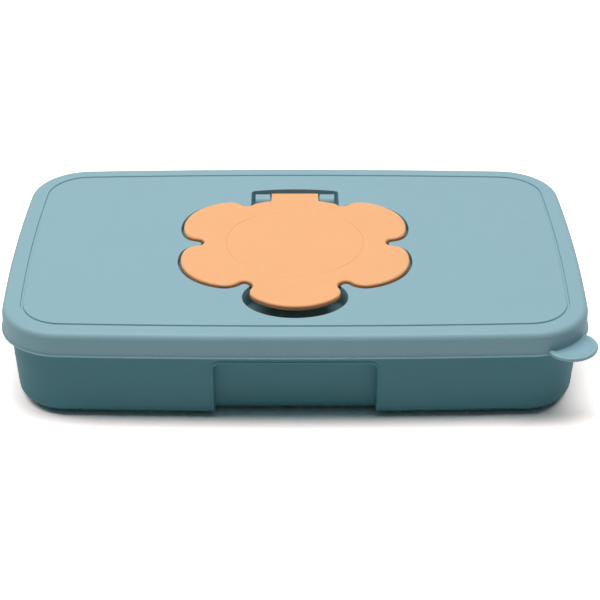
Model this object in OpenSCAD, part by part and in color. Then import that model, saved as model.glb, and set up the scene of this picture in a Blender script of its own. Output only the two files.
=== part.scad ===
// Countertop wipes dispenser: a shallow tray, a lift-off lid with a pull tab at one corner,
// and a flower-shaped flip cap over the opening that the wipes are pulled through.
// Millimetres. X is the width, +Y points to the rear (the hinge side), +Z is up.
// The origin is on the surface that the feet stand on, at the middle of the tray's footprint.

/* [Overall] */
// Width of the lid across the middle of its sides
lid_w = 230; // [200:1:260]
// Depth of the lid from front to rear
lid_d = 144; // [130:1:170]
// Height of the lid's top above the table
lid_top = 40; // [38:0.5:60]
// Plan radius of the lid's corners
corner_r = 25; // [22:0.5:30]
// How far each short side bows out past its corners
side_bow = 1.2; // [0.6:0.1:2.5]
// How far the front and the rear bow out past their corners
front_bow = 1.7; // [0.6:0.1:3]

/* [Lid] */
// Thickness of the lid's top plate
plate_t = 2.2; // [1.8:0.1:3]
// Thickness of the lid's skirt
skirt_t = 1.7; // [1.4:0.1:2]
// Height of the skirt, from the lid's top to its lower edge
skirt_h = 9.8; // [9:0.1:12]
// Radius of the rounding round the lid's top edge
lid_edge_r = 2.6; // [1.5:0.1:4.5]
// How far the lip at the skirt's lower edge stands out
lip_out = 0.55; // [0.3:0.05:1]
// Height of that lip
lip_h = 0.5; // [0.4:0.1:1.5]
// Distance of the decorative groove from the lid's edge
groove_in = 7.8; // [7.6:0.1:11]
// Width of the groove
groove_w = 1.1; // [0.8:0.1:2]
// Depth of the groove
groove_deep = 0.7; // [0.3:0.1:0.8]
// Thickness of the walls round the cap's pocket, the finger notch and the hinge recess
pocket_wall = 1.8; // [1.4:0.1:2]
// Thickness of the rib that stands inside the tray's rim
lid_rib_t = 1.4; // [1:0.1:2]
// How far that rib reaches below the tray's rim
lid_rib_h = 3; // [2:0.1:4]

/* [Pull tab] */
// Length of the pull tab along the lid's corner
tab_l = 20.8; // [16:0.2:24]
// How far the pull tab stands out from the corner
tab_out = 9.4; // [7:0.1:9.6]
// How far the pull tab's middle lies outside the lid's corner
tab_shift = 0.35; // [0:0.05:0.4]
// Thickness of the pull tab at its rim
tab_t = 1.6; // [1.4:0.1:2.5]
// How far its underside lies above the skirt's lower edge
tab_up = 0.2; // [0.1:0.05:0.4]
// Width of the flat rim round its dished top
tab_rim = 1.3; // [0.8:0.1:2]
// How deep its top is dished
tab_dish = 0.6; // [0.3:0.1:0.8]
// Width of the slope from the rim down to the bottom of the dish
dish_slope = 1.8; // [1:0.1:3]
// Direction the pull tab points in, below the X axis
tab_turn = 50; // [35:1:60]

/* [Tray] */
// Thickness of the tray's walls
wall_t = 2.2; // [1.8:0.1:2.6]
// Thickness of the tray's floor
floor_t = 2.2; // [1.8:0.1:3]
// Step from the lid's edge in to the tray's wall at the rim
tray_step = 3; // [2.9:0.1:3.6]
// How far the wall leans in from the rim to the base
tray_draft = 2.4; // [0.8:0.1:3]
// Radius of the rounding along the tray's bottom edge
base_r = 5.5; // [4.5:0.5:10]
// Width of the thumb recess in the tray's front
recess_w = 63; // [40:1:80]
// Depth of the thumb recess
recess_deep = 3.6; // [2:0.1:4.5]
// Corner radius of the thumb recess
recess_r = 3.3; // [2:0.1:5]
// Distance from the skirt's lower edge down to the thumb recess
recess_drop = 4.1; // [3:0.1:6]

/* [Cap] */
// Radius of the round middle of the cap
disc_r = 38; // [37:0.2:40]
// Reach of the four side petals from the cap's middle
petal_reach = 49.7; // [48.6:0.1:51]
// Reach of the front petal, which the finger lifts
front_reach = 51.7; // [50.6:0.1:52.6]
// Radius of the outer end of each petal
petal_r = 22; // [20:0.5:25]
// Radius of the two shoulders of each petal
shoulder_r = 6.9; // [6:0.1:8]
// Distance from the cap's middle to the bottom of the hollow between two petals
hollow_reach = 37.1; // [36.5:0.1:37.6]
// Thickness of the cap's plate
cap_t = 2.2; // [1.8:0.1:2.6]
// How far the cap stands above the lid's top
cap_proud = 1; // [0.5:0.1:1.6]
// Radius of the rounding round the cap's top edge
cap_edge_r = 0.9; // [0.6:0.1:1.5]
// Distance of the cap's middle behind the middle of the lid
cap_y = 1.2; // [0:0.1:3]
// Gap between the cap and the pocket's wall
pocket_gap = 1.1; // [0.6:0.1:1.5]
// Depth of the pocket's floor under the lid's top
pocket_deep = 3.2; // [3:0.1:4]
// Width of the latch tongue under the front petal
latch_w = 10; // [6:0.5:14]
// Thickness of the latch tongue
latch_t = 1.6; // [1.2:0.1:2]
// How far the latch tongue reaches below the cap's plate
latch_h = 4.4; // [3:0.1:5]

/* [Finger notch] */
// Half the width of the oval notch in front of the cap
notch_half_w = 20.6; // [19:0.1:22]
// Half the length of the notch from front to rear
notch_half_l = 16; // [15.4:0.1:16.6]
// Distance from the cap's middle to the middle of the notch
notch_y = 42.9; // [42.5:0.1:43.5]
// Distance from the notch's middle back to its flat rear wall
notch_flat = 10.2; // [9:0.1:10.5]
// Depth of the notch under the lid's top
notch_deep = 8; // [7:0.1:9]

/* [Hinge] */
// Distance from the cap's middle back to the hinge pin
hinge_y = 42; // [41.5:0.1:43]
// Radius of the barrel at the end of the cap's hinge tab
barrel_r = 3.5; // [3.2:0.1:3.7]
// Width of the cap's hinge tab
hinge_tab_w = 19.9; // [14:0.1:21]
// Radius of the two knuckles on the lid
knuckle_r = 3.2; // [2.8:0.1:3.4]
// Width of each knuckle
knuckle_w = 6.3; // [4:0.1:6.5]
// Gap between the hinge tab and a knuckle
knuckle_gap = 0.6; // [0.3:0.1:1]
// Gap between a knuckle and the side of the recess
knuckle_side = 1.7; // [1:0.1:3]
// Radius of the hinge pin
pin_r = 1.25; // [1:0.05:1.5]
// Radial running clearance of the hinge tab on the pin
pin_play = 0.05; // [0.03:0.01:0.1]
// Radial clearance of the pin in the knuckles that hold it
pin_grip = 0.02; // [0.02:0.01:0.03]
// Room behind the pin in the recess, at its middle
recess_back = 7.1; // [6.6:0.1:8]
// Distance from the cap's sealing rib back to the front of the recess
recess_front = 6; // [5:0.1:7]
// How far the recess bows out at its rear edge
recess_bow = 1.9; // [1:0.1:3]
// Size of the bevel at its two rear corners
recess_bevel = 2; // [1:0.1:3]
// Depth of the hinge recess under the lid's top
hinge_deep = 8.2; // [7:0.1:9]

/* [Seals and feet] */
// Radius of the middle of the cap's sealing rib and seal ring
seal_r = 28; // [27:0.1:28.6]
// Thickness of the sealing rib under the cap
rib_t = 1.4; // [1:0.1:1.8]
// Height of the rib under the cap
rib_h = 1.2; // [0.8:0.1:1.3]
// Thickness of the seal ring on each side of the rib
seal_t = 0.9; // [0.7:0.1:1.1]
// Thickness of the lid gasket
gasket_t = 1.6; // [1.2:0.1:2]
// Radius of the silicone insert that the wipes pass through
insert_r = 24.1; // [22:0.1:24.4]
// Thickness of the insert
insert_t = 1; // [0.8:0.1:1.2]
// Length of the slot in the insert
slot_l = 36; // [24:0.5:38]
// Width of the slot in the insert
slot_w = 5.6; // [5:0.1:8]
// Width of the thick lip round the slot
slot_lip_w = 1.2; // [0.8:0.1:1.6]
// How far that lip stands above the insert
slot_lip_h = 0.6; // [0.3:0.1:0.7]
// Radius of the opening in the lid under the insert
mouth_r = 21; // [20:0.1:21.6]
// Thickness of the retaining ring over the insert
ring_t = 0.8; // [0.6:0.1:1]
// Thickness of the wall round the insert's seat
seat_wall = 3; // [2:0.1:4]
// Thickness of the ledge that the insert lies on
seat_ledge = 2; // [1.4:0.1:2.4]
// Radius of a non-slip foot
foot_r = 7; // [5:0.5:9]
// Thickness of a foot
foot_t = 1.6; // [1.4:0.1:2]
// How far the feet stand out under the tray
foot_out = 0.8; // [0.5:0.1:1.2]
// Distance from the middle of a foot out to the lid's side
foot_in_x = 31; // [28:1:55]
// Distance from the middle of a foot out to the lid's front or rear
foot_in_y = 30; // [28:1:42]

/* [Hidden] */
$fn = 64;

// Colours, as the photo shows them
teal = [0.6, 0.73, 0.77];
deep_teal = [0.32, 0.5, 0.54];
orange = [0.98, 0.73, 0.54];
silicone = [0.93, 0.94, 0.92];
rubber = [0.35, 0.38, 0.4];
steel = [0.75, 0.76, 0.78];

// Clearances between pieces
seat_gap = 0.2;     // between a seal and what it closes on
slip = 0.1;         // between a piece and the seat it is pressed into
rib_gap = 0.5;      // between the tray's rim and the rib inside it
latch_gap = 0.4;    // between the latch tongue and the wall behind it
bite = 0.5;         // how far joined shapes run into each other
skirt_flare = 0.15; // how far the skirt stands in from the top of its lip
over = 1;           // how far a cut runs past the face it opens

// Levels
base_z = foot_out;
plate_z = lid_top - plate_t;
lip_z = lid_top - skirt_h;
cap_top = lid_top + cap_proud;
cap_z = cap_top - cap_t;
pocket_z = lid_top - pocket_deep;
notch_z = lid_top - notch_deep;
hinge_floor_z = lid_top - hinge_deep;
gasket_z = plate_z - gasket_t;
rim_z = gasket_z - seat_gap;
recess_z = lip_z - recess_drop;
pin_z = cap_top - barrel_r;
seat_z = pocket_z - insert_t - ring_t - slip;
notch_mid = cap_y - notch_y;
notch_back = notch_mid + notch_flat;
pin_y = cap_y + hinge_y;
foot_x = lid_w / 2 - foot_in_x;
foot_y = lid_d / 2 - foot_in_y;

// Insets from the lid's widest outline
skirt_top_in = lip_out + skirt_flare;
skirt_inner = skirt_top_in + skirt_t;
rim_inner = tray_step + wall_t;
rib_outer = rim_inner + rib_gap;

// Steps along the outlines
side_steps = 4;
corner_steps = 8;
front_steps = 6;
round_steps = 4;
bow_steps = 8;

// ---------- Outlines ----------

// Points of an arc, without its last point
function arc(c, r, from, to, steps) = [for (i = [0 : steps - 1])
  let (t = from + (to - from) * i / steps) c + r * [cos(t), sin(t)]];

// The lid's outline: four corner arcs joined by four large arcs that touch them smoothly
corner_x = lid_w / 2 - side_bow - corner_r;
corner_y = lid_d / 2 - front_bow - corner_r;
front_arc_r = (pow(corner_x, 2) + pow(front_bow + corner_r, 2) - pow(corner_r, 2)) / (2 * front_bow);
side_arc_r = (pow(corner_y, 2) + pow(side_bow + corner_r, 2) - pow(corner_r, 2)) / (2 * side_bow);
side_c = lid_w / 2 - side_arc_r;
front_c = lid_d / 2 - front_arc_r;
side_half = asin(corner_y / (side_arc_r - corner_r));
front_half = asin(corner_x / (front_arc_r - corner_r));

function corner(sx, sy, from, to, in) =
  arc([sx * corner_x, sy * corner_y], corner_r - in, from, to, corner_steps);

function plan_rest(in) = concat(
  corner(1, -1, 270 + front_half, 360 - side_half, in),
  arc([side_c, 0], side_arc_r - in, -side_half, side_half, side_steps),
  corner(1, 1, side_half, 90 - front_half, in),
  arc([0, front_c], front_arc_r - in, 90 - front_half, 90 + front_half, front_steps),
  corner(-1, 1, 90 + front_half, 180 - side_half, in),
  arc([-side_c, 0], side_arc_r - in, 180 - side_half, 180 + side_half, side_steps),
  corner(-1, -1, 180 + side_half, 270 - front_half, in));

// The outline drawn in by a distance, and the same with the thumb recess in its front
function plan(in) = concat(plan_rest(in),
  arc([0, -front_c], front_arc_r - in, 270 - front_half, 270 + front_half, front_steps));

function front_at(x, in) = -front_c - sqrt(pow(front_arc_r - in, 2) - x * x);

recess_slant = 0.6; // how much narrower the thumb recess is at its back than at its mouth, each side
function tray_plan(in, half, deep) =
  let (end = (front_arc_r - in) * sin(front_half), inner = half - recess_slant)
  concat(plan_rest(in),
    [for (x = [-end, -(end + half) / 2, -half]) [x, front_at(x, in)]],
    [for (x = [-inner, -inner / 2, 0, inner / 2, inner]) [x, front_at(x, in) + deep]],
    [for (x = [half, (end + half) / 2]) [x, front_at(x, in)]]);

// The cap's outline: each petal has a wide outer arc and two shoulders, with a hollow between petals
petal_turn = 60;    // angle between two petals
petal_half = 46;    // half the angle of a petal's outer arc
rear_half = 27;     // half the angle of the plain arc at the rear, where the hinge tab is
front_turn = 270;   // direction of the front petal
petal_steps = 5;
shoulder_steps = 4;
hollow_steps = 3;
disc_steps = 12;
hollow_turn = petal_turn / 2;
function along(a) = [cos(a), sin(a)];
function shoulder_c(reach, side) = [reach - petal_r, 0]
  + (petal_r - shoulder_r) * along(side * petal_half);
// Radius of the hollow beside a petal, which touches the petal's shoulder
function hollow_r(reach) = let (s = shoulder_c(reach, 1), v = hollow_reach * along(hollow_turn) - s)
  (v * v - shoulder_r * shoulder_r) / (2 * (s * along(hollow_turn) + shoulder_r - hollow_reach));
function turned(points, a) = [for (p = points)
  [p[0] * cos(a) - p[1] * sin(a), p[0] * sin(a) + p[1] * cos(a)]];
// Right half of a petal that points along +X, from its tip to the middle of the hollow
function half_petal(reach, in) =
  let (s = shoulder_c(reach, 1), r = hollow_r(reach), h = (hollow_reach + r) * along(hollow_turn),
    v = h - s, meet = atan2(v[1], v[0]), end = hollow_turn + 180)
  concat(arc([reach - petal_r, 0], petal_r - in, 0, petal_half, petal_steps),
    arc(s, shoulder_r - in, petal_half, meet, shoulder_steps),
    arc(h, r + in, meet + 180, end, hollow_steps),
    [h + (r + in) * along(end)]);
function petal(reach, in, a) = let (half = half_petal(reach, in), n = len(half))
  turned(concat([for (i = [n - 1 : -1 : 1]) [half[i][0], -half[i][1]]], half), a);
function flower(in) = [for (p = concat(
    petal(petal_reach, in, front_turn - 2 * petal_turn), petal(petal_reach, in, front_turn - petal_turn),
    petal(front_reach, in, front_turn),
    petal(petal_reach, in, front_turn + petal_turn), petal(petal_reach, in, front_turn + 2 * petal_turn),
    arc([0, 0], disc_r - in, 90 - rear_half, 90 + rear_half, disc_steps),
    [(disc_r - in) * along(90 + rear_half)]))
  p + [0, cap_y]];

// An ellipse for the pull tab
tab_steps = 32;
function oval(rx, ry) = [for (i = [0 : tab_steps - 1])
  let (t = 360 * i / tab_steps) [rx * cos(t), ry * sin(t)]];

// ---------- Skins ----------

function lift(points, z) = [for (p = points) [p[0], p[1], z]];
function flat(loops) = [for (l = loops) for (p = l) p];
function mean(points) = [for (k = [0 : 2]) [for (p = points) p[k]] * [for (p = points) 1] / len(points)];
function band(n, a, b) = [for (i = [0 : n - 1]) let (j = (i + 1) % n)
  each [[a * n + i, b * n + i, b * n + j], [a * n + i, b * n + j, a * n + j]]];

// A solid whose surface runs through the loops in turn, closed by flat ends
module skin(loops) {
  n = len(loops[0]);
  last = len(loops) - 1;
  ends = [mean(loops[0]), mean(loops[last])];
  points = concat(flat(loops), ends);
  polyhedron(points, concat(
    [for (k = [0 : last - 1]) each band(n, k, k + 1)],
    [for (i = [0 : n - 1]) [n * (last + 1), i, (i + 1) % n]],
    [for (i = [0 : n - 1]) [n * (last + 1) + 1, n * last + (i + 1) % n, n * last + i]]));
}

// A ring whose section runs through the loops and back to the first
module ring_skin(loops) {
  n = len(loops[0]);
  count = len(loops);
  polyhedron(flat(loops), [for (k = [0 : count - 1]) each band(n, k, (k + 1) % count)]);
}

module prism(points, from, to) {
  translate([0, 0, from])
    linear_extrude(to - from)
      polygon(points);
}

// ---------- Tray ----------

function draft_at(z) = tray_draft * (rim_z - z) / (rim_z - base_z);
function recess_half(z, grow) = let (r = recess_r, drop = recess_z + grow - z)
  recess_w / 2 + grow - (drop >= r ? 0 : drop <= 0 ? r : r - sqrt(r * r - pow(r - drop, 2)));

// One loop of the tray's wall. grow widens the recess by the wall's thickness for the inside.
function tray_loop(in, z, grow, cut) =
  lift(tray_plan(in, recess_half(z, grow), cut ? recess_deep : 0), z);

module tray() {
  rim_soft = 0.5;   // bevel along the rim
  top_r = base_z + base_r;
  inner_r = base_r - wall_t;
  inner_top = base_z + floor_t + inner_r;
  step = 0.5;       // height in which the recess steps back at its top
  // Loops down its rounded corners, as shares of their radius
  cuts = [0, 0.12, 0.4, 1];
  last = len(cuts) - 1;
  outer = concat(
    [for (i = [0 : round_steps]) let (t = 90 - 90 * i / round_steps)
      tray_loop(tray_step + draft_at(top_r) + base_r * (1 - cos(t)), top_r - base_r * sin(t), 0, true)],
    [for (i = [last : -1 : 0]) let (z = recess_z - step - cuts[i] * recess_r)
      tray_loop(tray_step + draft_at(z), z, 0, true)],
    [tray_loop(tray_step + draft_at(recess_z), recess_z, 0, false)]);
  rim = [
    tray_loop(tray_step + draft_at(rim_z), rim_z - rim_soft, 0, false),
    tray_loop(tray_step + rim_soft, rim_z, 0, false),
    tray_loop(tray_step + wall_t - rim_soft, rim_z, 0, false),
    tray_loop(tray_step + wall_t, rim_z - rim_soft, 0, false)];
  top_in = recess_z + wall_t;
  inner = concat(
    [tray_loop(tray_step + wall_t + draft_at(top_in), top_in, wall_t, false)],
    [for (i = [0 : last]) let (z = top_in - step - cuts[i] * recess_r)
      tray_loop(tray_step + wall_t + draft_at(z), z, wall_t, true)],
    [for (i = [0 : round_steps]) let (t = 90 * i / round_steps)
      tray_loop(tray_step + wall_t + draft_at(top_r) + inner_r * (1 - cos(t)),
        inner_top - inner_r * sin(t), wall_t, true)]);
  color(deep_teal)
    difference() {
      skin(concat(outer, rim, inner));
      for (sx = [-1, 1], sy = [-1, 1])
        translate([sx * foot_x, sy * foot_y, base_z - over])
          cylinder(r = foot_r + slip, h = over + foot_t - foot_out);
    }
}

module foot(sx, sy) {
  color(rubber)
    translate([sx * foot_x, sy * foot_y, 0])
      cylinder(r = foot_r, h = foot_t);
}

// ---------- Lid ----------

module lid_shell() {
  lip_slope = 0.2;  // height of the slope over the lip
  outer = concat(
    [for (i = [0 : round_steps + 1]) let (t = 90 * i / (round_steps + 1))
      lift(plan(skirt_top_in + lid_edge_r * (1 - sin(t))), lid_top - lid_edge_r * (1 - cos(t)))],
    [lift(plan(lip_out), lip_z + lip_h + lip_slope),
      lift(plan(0), lip_z + lip_h),
      lift(plan(0), lip_z)]);
  inner = [lift(plan(skirt_inner), lip_z), lift(plan(skirt_inner), plate_z)];
  loops = concat(outer, inner);
  skin([for (i = [len(loops) - 1 : -1 : 0]) loops[i]]);
}

// The pull tab: a dished oval that grows out of the skirt's lip
module pull_tab() {
  rx = tab_out;
  ry = tab_l / 2;
  soft = 0.4;       // bevel along its edges
  low_in = tab_rim + dish_slope;
  tab_reach = corner_r + tab_shift;
  low = lip_z + tab_up;
  high = low + tab_t;
  difference() {
    translate([corner_x + tab_reach * cos(tab_turn), -corner_y - tab_reach * sin(tab_turn), 0])
      rotate(-tab_turn)
        skin([
          lift(oval(rx - soft, ry - soft), low),
          lift(oval(rx, ry), low + soft),
          lift(oval(rx, ry), high - soft),
          lift(oval(rx - soft, ry - soft), high),
          lift(oval(rx - tab_rim, ry - tab_rim), high),
          lift(oval(rx - low_in, ry - low_in), high - tab_dish)]);
    prism(plan(skirt_inner - bite), lip_z - over, plate_z);
  }
}

module hinge_recess_outline(grow) {
  half = hinge_tab_w / 2 + knuckle_gap + knuckle_w + knuckle_side + grow;
  back = pin_y + recess_back + grow;
  front = cap_y + seal_r + recess_front - grow;
  side_back = back - recess_bow - recess_bevel;
  bow_r = (half * half + recess_bow * recess_bow) / (2 * recess_bow);
  bow_half = asin((half - recess_bevel) / bow_r);
  polygon(concat([[-half, front], [half, front], [half, side_back]],
    arc([0, back - bow_r], bow_r, 90 - bow_half, 90 + bow_half, bow_steps),
    [[recess_bevel - half, back - bow_r + bow_r * cos(bow_half)], [-half, side_back]]));
}

// The notch's oval, cut flat at the rear
notch_steps = 32;
function notch(grow) =
  let (rx = notch_half_w + grow, ry = notch_half_l + grow, edge = asin((notch_flat + grow) / ry))
  [for (i = [0 : notch_steps]) let (t = 180 - edge + (180 + 2 * edge) * i / notch_steps)
    [rx * cos(t), notch_mid + ry * sin(t)]];

// Walls under the plate round the pocket, the notch and the hinge recess
module pocket_walls() {
  top = plate_z + bite;
  prism(flower(-pocket_gap - pocket_wall), pocket_z - pocket_wall, top);
  translate([0, cap_y, seat_z - seat_ledge])
    cylinder(r = insert_r + seat_wall, h = pocket_z - seat_z + seat_ledge);
  prism(notch(pocket_wall), notch_z - pocket_wall, top);
  translate([0, 0, hinge_floor_z - pocket_wall])
    linear_extrude(top - hinge_floor_z + pocket_wall)
      hinge_recess_outline(pocket_wall);
}

module pocket_cuts() {
  high = lid_top + over;
  prism(flower(-pocket_gap), pocket_z, high);
  prism(notch(0), notch_z, high);
  translate([0, 0, hinge_floor_z])
    linear_extrude(high - hinge_floor_z)
      hinge_recess_outline(0);
  translate([0, cap_y, seat_z])
    cylinder(r = insert_r + slip, h = high - seat_z);
  translate([0, cap_y, seat_z - seat_ledge - over])
    cylinder(r = mouth_r, h = high - seat_z + seat_ledge);
}

module knuckle(side) {
  near = hinge_tab_w / 2 + knuckle_gap;
  low = hinge_floor_z - bite;
  translate([side > 0 ? near : -near - knuckle_w, pin_y, pin_z])
    difference() {
      union() {
        rotate([0, 90, 0])
          cylinder(r = knuckle_r, h = knuckle_w);
        translate([0, -knuckle_r, low - pin_z])
          cube([knuckle_w, 2 * knuckle_r, pin_z - low]);
      }
      translate([-over, 0, 0])
        rotate([0, 90, 0])
          cylinder(r = pin_r + pin_grip, h = knuckle_w + 2 * over);
    }
}

module lid() {
  color(teal)
    union() {
      difference() {
        union() {
          lid_shell();
          difference() {
            prism(plan(rib_outer), rim_z - lid_rib_h, plate_z + bite);
            prism(plan(rib_outer + lid_rib_t), rim_z - lid_rib_h - over, plate_z + over);
          }
          pocket_walls();
          pull_tab();
        }
        difference() {
          prism(plan(groove_in), lid_top - groove_deep, lid_top + over);
          prism(plan(groove_in + groove_w), lid_top - groove_deep - over, lid_top + 2 * over);
        }
        pocket_cuts();
      }
      knuckle(-1);
      knuckle(1);
    }
}

// Soft ring between the tray's rim and the lid, in the channel between skirt and rib
module lid_gasket() {
  from = skirt_inner + slip;
  to = rib_outer - slip;
  soft = 0.5;       // bevel along its lower edges
  color(silicone)
    ring_skin([
      lift(plan(from), plate_z),
      lift(plan(to), plate_z),
      lift(plan(to), gasket_z + soft),
      lift(plan(to - soft), gasket_z),
      lift(plan(from + soft), gasket_z),
      lift(plan(from), gasket_z + soft)]);
}

// ---------- Cap ----------

module flip_cap() {
  soft = 0.4;       // bevel along its bottom edge
  tab_root = 4;     // how far the hinge tab runs in under the edge of the round middle
  tab_front = cap_y + disc_r - tab_root;
  color(orange)
    difference() {
      union() {
        skin(concat([lift(flower(soft), cap_z), lift(flower(0), cap_z + soft)],
          [for (i = [0 : round_steps - 1]) let (t = 90 * i / (round_steps - 1))
            lift(flower(cap_edge_r * (1 - cos(t))), cap_top - cap_edge_r * (1 - sin(t)))]));
        translate([-hinge_tab_w / 2, tab_front, cap_z])
          cube([hinge_tab_w, pin_y - tab_front, cap_t]);
        translate([-hinge_tab_w / 2, pin_y, pin_z])
          rotate([0, 90, 0])
            cylinder(r = barrel_r, h = hinge_tab_w);
        translate([-latch_w / 2, notch_back - latch_gap - latch_t, cap_z - latch_h])
          cube([latch_w, latch_t, latch_h + bite]);
        translate([0, cap_y, cap_z - rib_h])
          difference() {
            cylinder(r = seal_r + rib_t / 2, h = rib_h + bite);
            translate([0, 0, -over])
              cylinder(r = seal_r - rib_t / 2, h = rib_h + over);
          }
      }
      translate([-hinge_tab_w / 2 - over, pin_y, pin_z])
        rotate([0, 90, 0])
          cylinder(r = pin_r + pin_play, h = hinge_tab_w + 2 * over);
    }
}

// Silicone ring pushed over the cap's rib; it closes on the pocket's floor
module cap_seal() {
  low = pocket_z + seat_gap;
  high = cap_z - slip;
  slot = rib_t / 2 + slip / 2;
  color(silicone)
    translate([0, cap_y, 0])
      difference() {
        translate([0, 0, low])
          cylinder(r = seal_r + slot + seal_t, h = high - low);
        translate([0, 0, low - over])
          cylinder(r = seal_r - slot - seal_t, h = high - low + 2 * over);
        translate([0, 0, cap_z - rib_h - slip])
          difference() {
            cylinder(r = seal_r + slot, h = rib_h + over);
            translate([0, 0, -over])
              cylinder(r = seal_r - slot, h = rib_h + 3 * over);
          }
      }
}

module hinge_pin() {
  half = hinge_tab_w / 2 + knuckle_gap + knuckle_w;
  color(steel)
    translate([-half, pin_y, pin_z])
      rotate([0, 90, 0])
        cylinder(r = pin_r, h = 2 * half);
}

// ---------- Opening for the wipes ----------

module slot_outline(grow) {
  r = slot_w / 2 + grow;
  end = (slot_l - slot_w) / 2;
  square([2 * end, 2 * r], center = true);
  for (s = [-1, 1])
    translate([s * end, 0])
      circle(r = r);
}

// Soft disc with a thickened lip round the slot that grips the wipe
module aperture_insert() {
  color(silicone)
    translate([0, cap_y, seat_z])
      difference() {
        union() {
          cylinder(r = insert_r, h = insert_t);
          linear_extrude(insert_t + slot_lip_h)
            slot_outline(slot_lip_w);
        }
        translate([0, 0, -over])
          linear_extrude(insert_t + slot_lip_h + 2 * over)
            slot_outline(0);
      }
}

// Snap ring that clamps the insert's edge into the lid
module retaining_ring() {
  color(teal)
    translate([0, cap_y, pocket_z - slip / 2 - ring_t])
      difference() {
        cylinder(r = insert_r, h = ring_t);
        translate([0, 0, -over])
          cylinder(r = mouth_r, h = ring_t + 2 * over);
      }
}

tray();
lid();
lid_gasket();
flip_cap();
cap_seal();
hinge_pin();
aperture_insert();
retaining_ring();
foot(-1, -1);  // foot_front_left
foot(1, -1);  // foot_front_right
foot(-1, 1);  // foot_rear_left
foot(1, 1);  // foot_rear_right
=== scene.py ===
"""Countertop wipes dispenser: a tray, a lift-off lid with a pull tab, and a flower-shaped flip cap.

Metres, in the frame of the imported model: X is the width, +Y points to the rear where the cap's
hinge is, +Z is up, and the feet stand on Z = 0.
"""

import math

import bmesh
import bpy
from mathutils import Matrix, Vector


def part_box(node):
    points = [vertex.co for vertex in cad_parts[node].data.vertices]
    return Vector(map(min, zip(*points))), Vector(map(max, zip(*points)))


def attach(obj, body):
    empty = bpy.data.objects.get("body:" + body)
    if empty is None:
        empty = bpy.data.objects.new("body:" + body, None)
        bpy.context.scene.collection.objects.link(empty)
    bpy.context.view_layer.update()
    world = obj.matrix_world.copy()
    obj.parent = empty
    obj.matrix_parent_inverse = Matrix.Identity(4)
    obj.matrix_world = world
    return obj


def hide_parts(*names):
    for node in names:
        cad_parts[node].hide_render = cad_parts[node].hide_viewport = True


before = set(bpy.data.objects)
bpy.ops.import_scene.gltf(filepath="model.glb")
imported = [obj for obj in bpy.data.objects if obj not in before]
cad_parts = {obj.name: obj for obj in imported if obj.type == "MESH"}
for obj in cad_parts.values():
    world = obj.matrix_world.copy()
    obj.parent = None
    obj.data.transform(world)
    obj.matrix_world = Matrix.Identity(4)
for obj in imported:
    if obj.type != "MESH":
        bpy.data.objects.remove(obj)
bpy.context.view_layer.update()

MM = 0.001

# ---------- Sizes ----------

tray_low, tray_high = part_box("tray")
lid_low, lid_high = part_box("lid")
pin_low, pin_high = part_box("hinge_pin")

# Overall
LID_W = lid_high.x - lid_low.x
LID_D = 2 * lid_high.y
CAP_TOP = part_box("flip_cap")[1].z
CAP_PROUD = 1 * MM
LID_TOP = CAP_TOP - CAP_PROUD
CORNER_R = 25 * MM
SIDE_BOW = 1.2 * MM
FRONT_BOW = 1.7 * MM

# Lid
PLATE_T = 2.2 * MM
SKIRT_T = 1.7 * MM
SKIRT_H = 9.8 * MM
SKIRT_FLARE = 0.15 * MM
LID_EDGE_R = 2.6 * MM
LIP_OUT = 0.55 * MM
LIP_H = 0.5 * MM
GROOVE_IN = 7.8 * MM
GROOVE_W = 1.1 * MM
GROOVE_DEEP = 0.7 * MM
POCKET_WALL = 1.8 * MM
TUB_SOFT = 0.8 * MM
LID_RIB_IN = 5.7 * MM
LID_RIB_T = 1.4 * MM
LID_RIB_LOW = tray_high.z - 3 * MM
LID_RIB_SOFT = 0.3 * MM
GASKET_SLIP = 0.1 * MM
LIP_Z = LID_TOP - SKIRT_H
PLATE_Z = LID_TOP - PLATE_T
SKIRT_TOP_IN = LIP_OUT + SKIRT_FLARE
SKIRT_INNER = SKIRT_TOP_IN + SKIRT_T

# Pull tab
TAB_OUT = 9.35 * MM
TAB_HALF = 10.35 * MM
TAB_T = 1.6 * MM
TAB_UP = 0.2 * MM
TAB_RIM = 1.3 * MM
TAB_DISH = 0.6 * MM
TAB_SLOPE = 1.8 * MM
TAB_SOFT = 0.6 * MM
TAB_TURN = 50
TAB_SHIFT = 0.35 * MM
# How the dish goes down: shares of the slope's width and of the dish's depth
TAB_DISH_FALL = ((0, 0), (0.25, 0.12), (0.5, 0.5), (0.75, 0.88), (1, 1), (2, 1))

# Tray
TRAY_STEP = 3 * MM
TRAY_DRAFT = 2.4 * MM
WALL_T = 2.2 * MM
FLOOR_T = 2.2 * MM
BASE_R = 5.5 * MM
RIM_SOFT = 0.9 * MM
RIM_STRAIGHT = 4 * MM
RECESS_HALF = 31.5 * MM
RECESS_TOP = LIP_Z - 4.1 * MM
RECESS_R = 3.3 * MM
RECESS_DEEP = 3.6 * MM
RECESS_SLOPE = 0.9 * MM
BEAD_W = 1 * MM
BEAD_H = 0.32 * MM
ABOVE_BEAD = 1.5 * MM
FOOT_SOFT, FOOT_RIM, FOOT_HOLLOW = 0.3 * MM, 1.6 * MM, 0.25 * MM

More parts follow.
